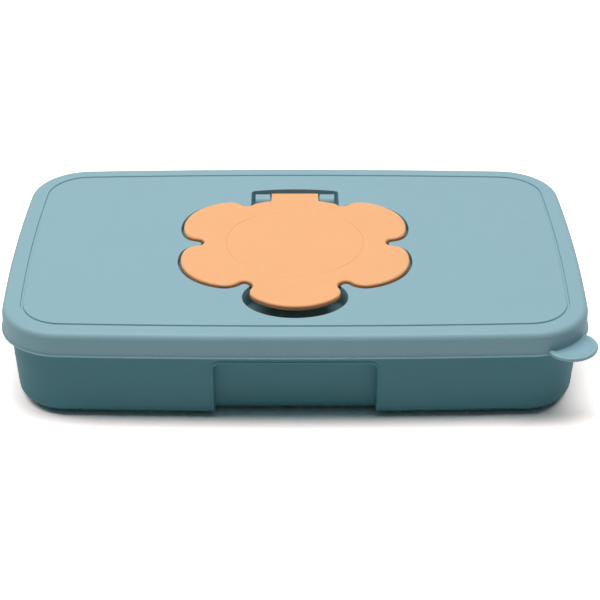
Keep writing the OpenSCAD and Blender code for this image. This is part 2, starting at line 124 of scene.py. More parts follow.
# Cap
CAP_Y = 1.2 * MM
CAP_T = 2.2 * MM
CAP_EDGE_R = 0.9 * MM
DISC_R = 38 * MM
PETAL_REACH = 49.7 * MM
FRONT_REACH = 51.7 * MM
PETAL_R = 22 * MM
SHOULDER_R = 6.9 * MM
HOLLOW_REACH = 37.1 * MM
PETAL_TURN = 60
PETAL_HALF = 46
REAR_HALF = 27
FRONT_TURN = 270
POCKET_GAP = 1.1 * MM
POCKET_Z = LID_TOP - 3.2 * MM
POCKET_SOFT = 0.5 * MM
CAP_Z = CAP_TOP - CAP_T
LATCH_W, LATCH_T, LATCH_H = 10 * MM, 1.6 * MM, 4.4 * MM
LATCH_TIP_W, LATCH_TIP_T = 0.9, 0.6
SEAL_R = 28 * MM
SEAL_SOFT = 0.35 * MM
SEAL_SLIP, SEAL_OVER = 0.05 * MM, 0.1 * MM
RIB_T = 1.4 * MM
RIB_H = 1.2 * MM
SINK_HALF, SINK_DEEP = 0.45 * MM, 0.3 * MM

# Finger notch
NOTCH_HALF_W = 20.6 * MM
NOTCH_HALF_L = 16 * MM
NOTCH_MID = CAP_Y - 42.9 * MM
NOTCH_BACK = NOTCH_MID + 10.2 * MM
NOTCH_Z = LID_TOP - 8 * MM
NOTCH_SOFT = 0.8 * MM
LATCH_GAP = 0.4 * MM

# Hinge
PIN = (pin_low + pin_high) / 2
PIN_R = (pin_high.z - pin_low.z) / 2
BARREL_R = CAP_TOP - PIN.z
HINGE_TAB_W = 19.9 * MM
KNUCKLE_R = 3.2 * MM
KNUCKLE_W = 6.3 * MM
KNUCKLE_GAP = 0.6 * MM
KNUCKLE_SIDE = 1.7 * MM
KNUCKLE_SOFT = 0.2 * MM
STAND_IN = 0.15 * MM
COLLAR_R = 2.2 * MM
COLLAR_GAP = 0.15 * MM
COLLAR_SOFT = 0.1 * MM
PIN_SOFT = 0.25 * MM
PIN_GRIP, PIN_PLAY = 0.02 * MM, 0.05 * MM
BORE_SOFT = 0.01 * MM
HINGE_TAB_ROOT = 4 * MM
HINGE_TAB_SOFT = 0.3 * MM
HINGE_BACK = PIN.y + 7.1 * MM
HINGE_FRONT = CAP_Y + 34 * MM
HINGE_BOW = 1.9 * MM
HINGE_CORNER_R = 2 * MM
HINGE_Z = LID_TOP - 8.2 * MM
HINGE_SOFT = 0.6 * MM

# Opening for the wipes
INSERT_R = 24.1 * MM
INSERT_T = 1 * MM
SEAT_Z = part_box("aperture_insert")[0].z
SEAT_WALL = 3 * MM
SEAT_LEDGE = 2 * MM
MOUTH_R = 21 * MM
SLOT_L, SLOT_W = 36 * MM, 5.6 * MM
SLOT_LIP_W, SLOT_LIP_H = 1.2 * MM, 0.6 * MM
SLOT_LIP_SOFT = 0.35 * MM
INSERT_SLIP = 0.1 * MM

# Roundings that several pieces share
FINE = 0.15 * MM
SOFT = 0.2 * MM
ROUND = 0.4 * MM

# How far joined or cut shapes reach into each other, how far inside a rounding the flat beside
# it starts, and how close points are merged
BITE = 0.5 * MM
FLAT_IN = 3 * MM
MICRON = 0.001 * MM

# ---------- Outlines ----------

CORNER_X = LID_W / 2 - SIDE_BOW - CORNER_R
CORNER_Y = LID_D / 2 - FRONT_BOW - CORNER_R


def bowed_radius(half, bow):
    """Radius of the long arc that touches two corner arcs and bows out between them."""
    return (half ** 2 + (bow + CORNER_R) ** 2 - CORNER_R ** 2) / (2 * bow)


FRONT_R = bowed_radius(CORNER_X, FRONT_BOW)
SIDE_R = bowed_radius(CORNER_Y, SIDE_BOW)
FRONT_C = LID_D / 2 - FRONT_R
SIDE_C = LID_W / 2 - SIDE_R
FRONT_HALF = math.degrees(math.asin(CORNER_X / (FRONT_R - CORNER_R)))
SIDE_HALF = math.degrees(math.asin(CORNER_Y / (SIDE_R - CORNER_R)))

# Steps of the outlines' arcs
CORNER_STEPS, SIDE_STEPS, FRONT_STEPS = 18, 8, 12
PETAL_STEPS, SHOULDER_STEPS, HOLLOW_STEPS, REAR_STEPS = 14, 12, 8, 20
NOTCH_STEPS = 80
HINGE_CORNER_STEPS, HINGE_BOW_STEPS = 8, 24
BARREL_STEPS = 40

# Steps of whole circles
ROUND_STEPS, FINE_ROUND_STEPS = 96, 128
SLOT_STEPS = 64
BAR_STEPS, PIN_STEPS = 64, 48

# Steps of the quarter rounds on edges, and rows of the tray's plain wall
EDGE_STEPS, RIM_STEPS, DISC_EDGE_STEPS = 4, 5, 3
LID_EDGE_STEPS, CAP_EDGE_STEPS = 10, 8
BASE_STEPS, INNER_BASE_STEPS = 14, 12
WALL_ROWS = 6


def along(turn):
    """Unit vector in a direction given in degrees."""
    return Vector((math.cos(math.radians(turn)), math.sin(math.radians(turn))))


def arc(centre, radius, start, end, steps):
    """Points of an arc, without its last point."""
    turns = (start + (end - start) * k / steps for k in range(steps))
    return [Vector(centre) + radius * along(turn) for turn in turns]


def plan_rest(inset):
    """The lid's outline without its front, from the right front corner round to the left one."""
    corner_r = CORNER_R - inset
    side_r, rear_r = SIDE_R - inset, FRONT_R - inset
    return (
        arc((CORNER_X, -CORNER_Y), corner_r, 270 + FRONT_HALF, 360 - SIDE_HALF, CORNER_STEPS)
        + arc((SIDE_C, 0), side_r, -SIDE_HALF, SIDE_HALF, SIDE_STEPS)
        + arc((CORNER_X, CORNER_Y), corner_r, SIDE_HALF, 90 - FRONT_HALF, CORNER_STEPS)
        + arc((0, FRONT_C), rear_r, 90 - FRONT_HALF, 90 + FRONT_HALF, FRONT_STEPS)
        + arc((-CORNER_X, CORNER_Y), corner_r, 90 + FRONT_HALF, 180 - SIDE_HALF, CORNER_STEPS)
        + arc((-SIDE_C, 0), side_r, 180 - SIDE_HALF, 180 + SIDE_HALF, SIDE_STEPS)
        + arc((-CORNER_X, -CORNER_Y), corner_r, 180 + SIDE_HALF, 270 - FRONT_HALF, CORNER_STEPS)
    )


def plan(inset):
    """The lid's whole outline, drawn in by a distance."""
    front = arc((0, -FRONT_C), FRONT_R - inset, 270 - FRONT_HALF, 270 + FRONT_HALF, FRONT_STEPS)
    return plan_rest(inset) + front


RECESS_GRID = 0.125 * MM
RECESS_LINES = 38
RECESS_MARGIN = 1.25 * MM
recess_lines = [k * RECESS_GRID - RECESS_MARGIN for k in range(RECESS_LINES)]
left_columns = [-RECESS_HALF + line for line in recess_lines]
right_columns = [-x for x in reversed(left_columns)]
front_columns = left_columns + [-RECESS_HALF / 2, 0, RECESS_HALF / 2] + right_columns


def tray_plan(inset):
    """The outline with close columns at the two sides of the thumb recess in its front."""
    radius = FRONT_R - inset
    end = radius * math.sin(math.radians(FRONT_HALF))
    between = (end + front_columns[0]) / 2
    columns = [-end, front_columns[0] - between] + front_columns + [between - front_columns[0]]
    front = [Vector((x, -FRONT_C - math.sqrt(radius ** 2 - x ** 2))) for x in columns]
    return plan_rest(inset) + front


def shoulder_centre(reach):
    """Centre of the small arc that a petal's wide end turns into."""
    return Vector((reach - PETAL_R, 0)) + (PETAL_R - SHOULDER_R) * along(PETAL_HALF)


def half_petal(reach, inset):
    """One side of a petal that points along X, from its tip to the middle of the next hollow."""
    shoulder = shoulder_centre(reach)
    hollow_way = along(PETAL_TURN / 2)
    gap = HOLLOW_REACH * hollow_way - shoulder
    room = shoulder.dot(hollow_way) + SHOULDER_R - HOLLOW_REACH
    hollow_r = (gap.dot(gap) - SHOULDER_R ** 2) / (2 * room)
    hollow = (HOLLOW_REACH + hollow_r) * hollow_way
    meet = math.degrees(math.atan2(hollow.y - shoulder.y, hollow.x - shoulder.x))
    end = PETAL_TURN / 2 + 180
    return (
        arc((reach - PETAL_R, 0), PETAL_R - inset, 0, PETAL_HALF, PETAL_STEPS)
        + arc(shoulder, SHOULDER_R - inset, PETAL_HALF, meet, SHOULDER_STEPS)
        + arc(hollow, hollow_r + inset, meet + 180, end, HOLLOW_STEPS)
        + [hollow + (hollow_r + inset) * along(end)]
    )


def turned(points, turn):
    """Flat points turned about the origin by an angle in degrees."""
    spin = Matrix.Rotation(math.radians(turn), 2)
    return [spin @ p for p in points]


def petal(reach, inset, turn):
    """A whole petal, from the hollow before it to the one after it."""
    half = half_petal(reach, inset)
    mirrored = [Vector((p.x, -p.y)) for p in reversed(half[1:])]
    return turned(mirrored + half[:-1], turn)


def flower(inset):
    """The cap's outline: five petals, and a plain arc at the rear where the hinge tab is."""
    points = []
    for step in (-2, -1, 0, 1, 2):
        reach = PETAL_REACH if step else FRONT_REACH
        points += petal(reach, inset, FRONT_TURN + step * PETAL_TURN)
    points += turned(half_petal(PETAL_REACH, inset)[-1:], PETAL_TURN / 2)
    points += arc((0, 0), DISC_R - inset, 90 - REAR_HALF, 90 + REAR_HALF, REAR_STEPS)
    points.append((DISC_R - inset) * along(90 + REAR_HALF))
    return [p + Vector((0, CAP_Y)) for p in points]


def circle(centre, radius, steps):
    return arc(centre, radius, 0, 360, steps)


def notch_outline(grow):
    """An oval cut flat at the back, where the pocket's floor ends."""
    half_w, half_l = NOTCH_HALF_W + grow, NOTCH_HALF_L + grow
    edge = math.degrees(math.asin((NOTCH_BACK + grow - NOTCH_MID) / half_l))
    ways = arc((0, 0), 1, 180 - edge, 360 + edge, NOTCH_STEPS) + [along(edge)]
    return [Vector((half_w * way.x, NOTCH_MID + half_l * way.y)) for way in ways]


def hinge_outline(grow):
    """The hinge recess: straight sides, rounded rear corners and a rear edge that bows out."""
    half = HINGE_TAB_W / 2 + KNUCKLE_GAP + KNUCKLE_W + KNUCKLE_SIDE + grow
    back, front = HINGE_BACK + grow, HINGE_FRONT - grow
    bow_r = (half ** 2 + HINGE_BOW ** 2) / (2 * HINGE_BOW)
    corner_r = HINGE_CORNER_R + grow
    corner_x = half - corner_r
    corner_y = back - bow_r + math.sqrt((bow_r - corner_r) ** 2 - corner_x ** 2)
    bow_half = math.degrees(math.asin(corner_x / (bow_r - corner_r)))
    return (
        [Vector((-half, front)), Vector((half, front))]
        + arc((corner_x, corner_y), corner_r, 0, 90 - bow_half, HINGE_CORNER_STEPS)
        + arc((0, back - bow_r), bow_r, 90 - bow_half, 90 + bow_half, HINGE_BOW_STEPS)
        + arc((-corner_x, corner_y), corner_r, 90 + bow_half, 180, HINGE_CORNER_STEPS)
        + [Vector((-half, corner_y))]
    )


def slot_outline(grow):
    """The slot's long outline with round ends, with as many points as the disc's circle has."""
    radius, end = SLOT_W / 2 + grow, (SLOT_L - SLOT_W) / 2
    quarter = SLOT_STEPS // 4
    right = arc((end, CAP_Y), radius, -90, 90, 2 * quarter)
    left = arc((-end, CAP_Y), radius, 90, 270, 2 * quarter)
    return right[quarter:] + left + right[:quarter]


# ---------- Mesh tools ----------


def at(points, z):
    """Flat points put at a height."""
    return [Vector((p.x, p.y, z)) for p in points]


def skin(bm, outlines, ring=False):
    """Extrudes one face from each outline to the next. A ring's last outline meets its first."""
    first = [bm.verts.new(p) for p in outlines[0]]
    face = bm.faces.new(first)
    for outline in outlines[1:]:
        face = bmesh.ops.extrude_discrete_faces(bm, faces=[face])["faces"][0]
        for vert, place in zip(face.verts, outline):
            vert.co = place
    if ring:
        bmesh.ops.delete(bm, geom=[face], context="FACES_ONLY")
    else:
        bm.faces.new(first[::-1])
    bmesh.ops.remove_doubles(bm, verts=bm.verts, dist=MICRON)


def round_section(steps, radius, way_in, way_up):
    """Steps of a quarter round: pairs of inset and height, from the side to the top or bottom."""
    turns = [math.radians(90 * k / steps) for k in range(steps + 1)]
    return [(way_in * radius * (1 - math.cos(t)), way_up * radius * math.sin(t)) for t in turns]


def spun(bm, profile, centre, steps):
    """Turns a profile of radius and height pairs about a vertical line.

    A profile that doesn't start and end on the line is closed into a ring.
    """
    verts = [bm.verts.new((centre[0] + r, centre[1], z)) for r, z in profile]
    edges = [bm.edges.new((a, b)) for a, b in zip(verts, verts[1:])]
    if profile[0][0] or profile[-1][0]:
        edges.append(bm.edges.new((verts[-1], verts[0])))
    bmesh.ops.spin(bm, geom=verts + edges, cent=(centre[0], centre[1], 0), axis=(0, 0, 1),
                   angle=math.tau, steps=steps, use_merge=True)
    bmesh.ops.remove_doubles(bm, verts=bm.verts, dist=MICRON)


def made(name, bm):
    """Turns a bmesh into an object with its faces pointing outwards."""
    bmesh.ops.recalc_face_normals(bm, faces=bm.faces)
    mesh = bpy.data.meshes.new(name)
    bm.to_mesh(mesh)
    bm.free()
    piece = bpy.data.objects.new(name, mesh)
    bpy.context.scene.collection.objects.link(piece)
    return piece


def solid(name, outlines, ring=False):
    """An object skinned over a row of outlines."""
    bm = bmesh.new()
    skin(bm, outlines, ring)
    return made(name, bm)


def turned_solid(name, profile, centre, steps=ROUND_STEPS):
    """An object turned from a profile about a vertical line."""
    bm = bmesh.new()
    spun(bm, profile, centre, steps)
    return made(name, bm)


def rod(name, radius, start, end, centre, edge, steps=BAR_STEPS):
    """A round bar along X with rounded ends."""
    ends = [(end - edge + up, radius - i) for i, up in round_section(EDGE_STEPS, edge, 1, 1)]
    outlines = []
    for x, r in [(start + end - x, r) for x, r in reversed(ends)] + ends:
        around = circle((0, 0), r, steps)
        outlines.append([Vector((x, centre.y + p.x, centre.z + p.y)) for p in around])
    return solid(name, outlines)


def combine(piece, tools, operation):
    """Joins tools to a piece, or cuts them from it, and removes them."""
    for tool in tools:
        step = piece.modifiers.new(operation, "BOOLEAN")
        step.operation = operation
        step.solver = "EXACT"
        step.object = tool
        graph = bpy.context.evaluated_depsgraph_get()
        mesh = bpy.data.meshes.new_from_object(piece.evaluated_get(graph))
        piece.modifiers.clear()
        piece.data = mesh
        bpy.data.objects.remove(tool)
    return piece


def merge_close_points(piece):
    """Merges the points that cuts leave less than a micron apart."""
    bm = bmesh.new()
    bm.from_mesh(piece.data)
    bmesh.ops.remove_doubles(bm, verts=bm.verts, dist=MICRON)
    bm.to_mesh(piece.data)
    bm.free()
    return piece


SMOOTH_LIMIT = math.radians(32)


def dress(piece, body, nodes, material):
    """Shades a finished piece, gives it its finish, puts it in its body and hides the imported
    parts it stands for.
    """
    mesh = piece.data
    mesh.shade_smooth()
    mesh.set_sharp_from_angle(angle=SMOOTH_LIMIT)
    weighted = piece.modifiers.new("even shading", "WEIGHTED_NORMAL")
    weighted.keep_sharp = True
    mesh.materials.clear()
    mesh.materials.append(material)
    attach(piece, body)
    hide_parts(*nodes)


# ---------- Materials ----------


def new_node(tree, kind, place, **values):
    """A shader node with its settings and its inputs' values."""
    node = tree.nodes.new("ShaderNode" + kind)
    node.location = place
    for name, value in values.items():
        if hasattr(node, name):
            setattr(node, name, value)
        else:
            node.inputs[name.replace("_", " ")].default_value = value
    return node


# How sharp an edge is where its painted highlight starts, and where it is full
EDGE_HIGHLIGHT_START, EDGE_HIGHLIGHT_FULL = 0.51, 0.58
CLOUD_SCALE, SMEAR_SCALE = 28.0, 160.0
GRAIN_H = 0.05 * MM
GLOSS_SPREAD = 0.12

STEEL_COLOUR = (0.62, 0.63, 0.65, 1)
STEEL_MARKS = (200, 9000, 9000)
STEEL_SMOOTH, STEEL_ROUGH = 0.22, 0.42


def moulded_surface():
    """Grain, faint clouds of colour and uneven gloss as on moulded plastic, and a painted highlight
    that lightens the colour along sharp edges.
    """
    group = bpy.data.node_groups.new("moulded surface", "ShaderNodeTree")
    group.interface.new_socket("Colour", in_out="INPUT", socket_type="NodeSocketColor")
    for name in ("Clouds", "Gloss", "Gloss Spread", "Grain Scale", "Relief", "Edge Polish"):
        group.interface.new_socket(name, in_out="INPUT", socket_type="NodeSocketFloat")
    for name, kind in (("Colour", "Color"), ("Roughness", "Float"), ("Normal", "Vector")):
        group.interface.new_socket(name, in_out="OUTPUT", socket_type="NodeSocket" + kind)
    link = group.links.new
    start = group.nodes.new("NodeGroupInput")
    end = group.nodes.new("NodeGroupOutput")
    place = new_node(group, "TexCoord", (-900, 0))

    def patches(scale, detail, height):
        """Soft patches with values to both sides of 0."""
        noise = new_node(group, "TexNoise", (-600, height), Scale=scale, Detail=detail)
        link(place.outputs["Object"], noise.inputs["Vector"])
        centred = new_node(group, "Math", (-400, height), operation="SUBTRACT")
        centred.inputs[1].default_value = 0.5
        link(noise.outputs["Fac"], centred.inputs[0])
        return centred.outputs[0]

    amount = new_node(group, "Math", (-200, 200), operation="MULTIPLY_ADD")
    amount.inputs[2].default_value = 1.0
    link(patches(CLOUD_SCALE, 3.0, 200), amount.inputs[0])
    link(start.outputs["Clouds"], amount.inputs[1])
    # Painted highlight: the colour is made lighter along sharp convex edges, as strongly as the
    # edge input says
    form = new_node(group, "NewGeometry", (-600, 450))
    edge_highlight_mask = new_node(group, "MapRange", (-400, 450), From_Min=EDGE_HIGHLIGHT_START, From_Max=EDGE_HIGHLIGHT_FULL)
    link(form.outputs["Pointiness"], edge_highlight_mask.inputs["Value"])
    clouds_and_highlight = new_node(group, "Math", (-200, 450), operation="MULTIPLY_ADD")
    link(edge_highlight_mask.outputs["Result"], clouds_and_highlight.inputs[0])
    link(start.outputs["Edge Polish"], clouds_and_highlight.inputs[1])
    link(amount.outputs[0], clouds_and_highlight.inputs[2])
    shade = new_node(group, "VectorMath", (0, 200), operation="SCALE")
    link(start.outputs["Colour"], shade.inputs[0])
    link(clouds_and_highlight.outputs[0], shade.inputs["Scale"])
    link(shade.outputs[0], end.inputs["Colour"])

    rough = new_node(group, "Math", (-200, -100), operation="MULTIPLY_ADD")
    link(patches(SMEAR_SCALE, 2.0, -100), rough.inputs[0])
    link(start.outputs["Gloss Spread"], rough.inputs[1])
    link(start.outputs["Gloss"], rough.inputs[2])
    link(rough.outputs[0], end.inputs["Roughness"])

    grain = new_node(group, "TexNoise", (-600, -400), Detail=4.0, Roughness=0.6)
    link(place.outputs["Object"], grain.inputs["Vector"])
    link(start.outputs["Grain Scale"], grain.inputs["Scale"])
    bump = new_node(group, "Bump", (-200, -400), Distance=GRAIN_H)
    link(grain.outputs["Fac"], bump.inputs["Height"])
    link(start.outputs["Relief"], bump.inputs["Strength"])
    link(bump.outputs["Normal"], end.inputs["Normal"])
    return group


SURFACE = moulded_surface()


def moulded(name, colour, gloss, clouds=0.05, grain=2600.0, relief=0.25, edge=0.0, **shader_values):
    """A moulded material: its colour in linear light, its roughness and the surface's effects. edge
    is the strength of a painted highlight that lightens the colour along sharp edges.
    """
    material = bpy.data.materials.new(name)
    material.use_nodes = True
    tree = material.node_tree
    shader = tree.nodes["Principled BSDF"]
    surface = tree.nodes.new("ShaderNodeGroup")
    surface.node_tree = SURFACE
    surface.location = (-300, 0)
    effects = {"Colour": (*colour, 1), "Clouds": clouds, "Gloss": gloss,
               "Gloss Spread": GLOSS_SPREAD, "Grain Scale": grain, "Relief": relief,
               "Edge Polish": edge}
    for socket, value in effects.items():
        surface.inputs[socket].default_value = value
    for start, end in (("Colour", "Base Color"), ("Roughness", "Roughness"), ("Normal", "Normal")):
        tree.links.new(surface.outputs[start], shader.inputs[end])
    for socket, value in shader_values.items():
        shader.inputs[socket.replace("_", " ")].default_value = value
    return material


def drawn_steel():
    """Drawn wire: bright metal with fine marks along its length."""
    material = bpy.data.materials.new("drawn steel")
    material.use_nodes = True
    tree = material.node_tree
    shader = tree.nodes["Principled BSDF"]
    shader.inputs["Metallic"].default_value = 1
    shader.inputs["Base Color"].default_value = STEEL_COLOUR
    place = new_node(tree, "TexCoord", (-900, 0))
    stretch = new_node(tree, "Mapping", (-700, 0), Scale=STEEL_MARKS)
    marks = new_node(tree, "TexNoise", (-500, 0), Scale=1.0, Detail=3.0)
    rough = new_node(tree, "MapRange", (-300, 0), To_Min=STEEL_SMOOTH, To_Max=STEEL_ROUGH)
    tree.links.new(place.outputs["Object"], stretch.inputs["Vector"])
    tree.links.new(stretch.outputs["Vector"], marks.inputs["Vector"])
    tree.links.new(marks.outputs["Fac"], rough.inputs["Value"])
    tree.links.new(rough.outputs["Result"], shader.inputs["Roughness"])
    return material


# How far light goes into the cap's plastic and the silicone
LIGHT_DEPTH = 2 * MM

LID_PLASTIC = moulded("teal lid plastic", (0.233, 0.397, 0.453), gloss=0.5,
                      Specular_IOR_Level=0.45)
# The tray's colour gets a painted highlight along its sharp edges, such as the bead round the thumb
# recess
TRAY_PLASTIC = moulded("teal tray plastic", (0.068, 0.212, 0.244), gloss=0.48, edge=0.6,
                       Specular_IOR_Level=0.3)
CAP_PLASTIC = moulded("orange cap plastic", (0.835, 0.423, 0.192), gloss=0.48,
                      Subsurface_Weight=0.5, Subsurface_Radius=(1, 0.35, 0.12),
                      Subsurface_Scale=LIGHT_DEPTH, Specular_IOR_Level=0.4)
SILICONE = moulded("clear white silicone", (0.78, 0.8, 0.77), gloss=0.42, clouds=0.03,
                   Subsurface_Weight=0.25, Subsurface_Scale=LIGHT_DEPTH)
FOOT_RUBBER = moulded("grey foot rubber", (0.065, 0.08, 0.09), gloss=0.75, grain=1800.0,
                      relief=0.5)
PIN_STEEL = drawn_steel()


# ---------- Tray ----------


def smoother(share):
    """A step from 0 to 1 that starts and ends level."""
    share = min(max(share, 0), 1)
    return share ** 3 * (share * (6 * share - 15) + 10)


def recess_depth(x, z, grow):
    """How far the tray's front is pushed in: the thumb recess, with a low bead round its edge."""
    across = abs(x) - (RECESS_HALF - RECESS_R)
    up = z - (RECESS_TOP - RECESS_R)
    edge = math.hypot(max(across, 0), max(up, 0)) + min(max(across, up), 0)
    inside = RECESS_R - edge
    bead = 0
    if not grow and -BEAD_W < inside < 0:
        bead = BEAD_H * math.sin(math.pi * inside / -BEAD_W) ** 2
    return RECESS_DEEP * smoother((inside + grow) / RECESS_SLOPE) - bead


def tray_loop(inset, z, grow):
    """One level of the tray's wall. grow widens the recess by the wall's thickness inside."""
    loop = at(tray_plan(inset), z)
    for p in loop:
        if p.y < 0 and abs(p.x) < RECESS_HALF + 2 * RECESS_MARGIN:
            p.y += recess_depth(p.x, z, grow)
    return loop


def draft(z):
    """How far the tray's wall has drawn in at a height below its rim."""
    return TRAY_DRAFT * (tray_high.z - z) / (tray_high.z - tray_low.z)


def tray_piece():
    """The tray's wall and floor, outside and in, from its underside up over the rim and down."""
    base_z, rim_z = tray_low.z, tray_high.z
    round_top = base_z + BASE_R
    inner_r = BASE_R - WALL_T
    inner_round_top = base_z + FLOOR_T + inner_r
    plain_h = RECESS_TOP - recess_lines[-1] - round_top
    heights = [round_top + plain_h * k / WALL_ROWS for k in range(WALL_ROWS)]
    heights += [RECESS_TOP - line for line in reversed(recess_lines)]
    heights += [RECESS_TOP + RECESS_MARGIN + ABOVE_BEAD, rim_z - RIM_STRAIGHT]

    outer_in = TRAY_STEP + draft(round_top)
    loops = [tray_loop(outer_in + BASE_R + FLAT_IN, base_z, 0)]
    for inset, up in reversed(round_section(BASE_STEPS, BASE_R, 1, -1)[1:]):
        loops.append(tray_loop(outer_in + inset, round_top + up, 0))
    loops += [tray_loop(TRAY_STEP + draft(z), z, 0) for z in heights]
    rim = [(i, rim_z - RIM_SOFT + up) for i, up in round_section(RIM_STEPS, RIM_SOFT, 1, 1)]
    loops += [tray_loop(TRAY_STEP + i, z, 0) for i, z in rim]
    loops += [tray_loop(TRAY_STEP + WALL_T - i, z, WALL_T) for i, z in reversed(rim)]
    inner_heights = [z for z in reversed(heights) if z > inner_round_top]
    loops += [tray_loop(TRAY_STEP + WALL_T + draft(z), z, WALL_T) for z in inner_heights]
    for inset, up in round_section(INNER_BASE_STEPS, inner_r, 1, -1):
        loops.append(tray_loop(outer_in + WALL_T + inset, inner_round_top + up, WALL_T))
    loops.append(tray_loop(outer_in + WALL_T + inner_r + FLAT_IN, base_z + FLOOR_T, WALL_T))
    return solid("tray_shell", loops)


def foot_piece(node):
    """A round rubber pad with a softened edge and a shallow hollow in its underside."""
    low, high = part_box(node)
    middle = (low + high) / 2
    radius = (high.x - low.x) / 2
    hollow_r, roof = radius - FOOT_RIM, low.z + FOOT_HOLLOW
    rounding = reversed(round_section(EDGE_STEPS, FOOT_SOFT, 1, -1))
    profile = [(0, roof), (hollow_r - FOOT_SOFT, roof), (hollow_r, low.z)]
    profile += [(radius - i, low.z + FOOT_SOFT + up) for i, up in rounding]
    profile += [(radius, high.z), (0, high.z)]
    return turned_solid(node + "_pad", profile, middle, BAR_STEPS)


# ---------- Lid ----------


def lid_shell():
    """The plate with its groove, the rounded edge, the skirt and the lip, all round."""
    lip_top = LIP_Z + LIP_H
    outside = [(SKIRT_INNER, PLATE_Z), (SKIRT_INNER, LIP_Z + FINE), (SKIRT_INNER - FINE, LIP_Z),
               (FINE, LIP_Z), (0, LIP_Z + FINE)]
    outside += [(i, lip_top - FINE + up) for i, up in round_section(EDGE_STEPS, FINE, 1, 1)]
    outside += [(LIP_OUT - FINE, lip_top), (LIP_OUT, lip_top + FINE)]
    edge_low = LID_TOP - LID_EDGE_R
    edge = round_section(LID_EDGE_STEPS, LID_EDGE_R, 1, 1)
    outside += [(SKIRT_TOP_IN + i, edge_low + up) for i, up in edge]
    groove_out = GROOVE_IN + GROOVE_W
    floor = LID_TOP - GROOVE_DEEP
    groove = [(GROOVE_IN - 2 * FINE, LID_TOP), (GROOVE_IN - FINE / 2, LID_TOP - FINE / 3),
              (GROOVE_IN, LID_TOP - FINE), (GROOVE_IN + FINE / 2, floor + FINE),
              (GROOVE_IN + FINE * 1.5, floor)]
    outside += groove
    outside += [(GROOVE_IN + groove_out - i, z) for i, z in reversed(groove)]
    outside.append((groove_out + FLAT_IN, LID_TOP))
    loops = [at(plan(SKIRT_INNER + FLAT_IN), PLATE_Z)]
    loops += [at(plan(i), z) for i, z in outside]
    return solid("lid_shell", loops)


def lid_rib():
    """The rib that stands inside the tray's rim."""
    top, soft, inner = PLATE_Z + BITE, LID_RIB_SOFT, LID_RIB_IN + LID_RIB_T
    section = [(LID_RIB_IN, top), (LID_RIB_IN, LID_RIB_LOW + soft),
               (LID_RIB_IN + soft, LID_RIB_LOW), (inner - soft, LID_RIB_LOW),
               (inner, LID_RIB_LOW + soft), (inner, top), (LID_RIB_IN, top)]
    return solid("rib", [at(plan(i), z) for i, z in section], ring=True)


def tub(name, outline, low):
    """A wall with a floor under the plate, round a pocket."""
    rounding = reversed(round_section(EDGE_STEPS, TUB_SOFT, 1, -1))
    loops = [at(outline(POCKET_WALL - i), low + TUB_SOFT + up) for i, up in rounding]
    loops.append(at(outline(POCKET_WALL), PLATE_Z + BITE))
    return solid(name, loops)


def pocket(name, outline, low, soft):
    """What is cut from the lid for a pocket, with a rounded floor edge and a softened rim."""
    rounding = reversed(round_section(EDGE_STEPS, soft, 1, -1))
    rim = round_section(RIM_STEPS, SOFT, 1, 1)
    loops = [at(outline(-i), low + soft + up) for i, up in rounding]
    loops += [at(outline(out), LID_TOP - SOFT + up) for out, up in rim]
    loops.append(at(outline(SOFT), LID_TOP + BITE))
    return solid(name, loops)


def pull_tab():
    """An oval that grows out of the corner, with a rounded rim and a dished top."""
    turn = math.radians(-TAB_TURN)
    middle = Vector((CORNER_X, -CORNER_Y)) + (CORNER_R + TAB_SHIFT) * along(-TAB_TURN)
    spin = Matrix.Rotation(turn, 2)

    def oval(inset):
        rx, ry = TAB_OUT - inset, TAB_HALF - inset
        turns = (math.tau * k / ROUND_STEPS for k in range(ROUND_STEPS))
        return [middle + spin @ Vector((rx * math.cos(t), ry * math.sin(t))) for t in turns]

    low = LIP_Z + TAB_UP
    high = low + TAB_T
    under = reversed(round_section(EDGE_STEPS, TAB_SOFT, 1, -1))
    rim = round_section(RIM_STEPS, TAB_SOFT, 1, 1)
    loops = [at(oval(i), low + TAB_SOFT + up) for i, up in under]
    loops += [at(oval(i), high - TAB_SOFT + up) for i, up in rim]
    dish = [(TAB_RIM + TAB_SLOPE * way, high - TAB_DISH * fall) for way, fall in TAB_DISH_FALL]
    loops += [at(oval(i), z) for i, z in dish]
    tab = solid("pull_tab", loops)
    skirt_inside = plan(SKIRT_INNER - BITE)
    inside = solid("inside", [at(skirt_inside, LIP_Z - BITE), at(skirt_inside, PLATE_Z)])
    return combine(tab, [inside], "DIFFERENCE")


def knuckle(side):
    """A lug that holds the pin: a round bar with a collar, on a block from the recess's floor."""
    near = HINGE_TAB_W / 2 + KNUCKLE_GAP
    start, end = sorted((side * near, side * (near + KNUCKLE_W)))
    bar = rod("knuckle", KNUCKLE_R, start, end, PIN, KNUCKLE_SOFT)
    collar_ends = sorted((side * (HINGE_TAB_W / 2 + COLLAR_GAP), side * (near + KNUCKLE_W / 2)))
    collar = rod("collar", COLLAR_R, *collar_ends, PIN, COLLAR_SOFT)
    left, right = start + STAND_IN, end - STAND_IN
    front, back = PIN.y - KNUCKLE_R, PIN.y + KNUCKLE_R
    block = [Vector(p) for p in ((left, front), (right, front), (right, back), (left, back))]
    stand = solid("stand", [at(block, HINGE_Z - BITE), at(block, PIN.z)])
    return combine(bar, [collar, stand], "UNION")


def cap_pocket_outline(grow):
    """The cap's outline with the gap round it."""
    return flower(-POCKET_GAP - grow)


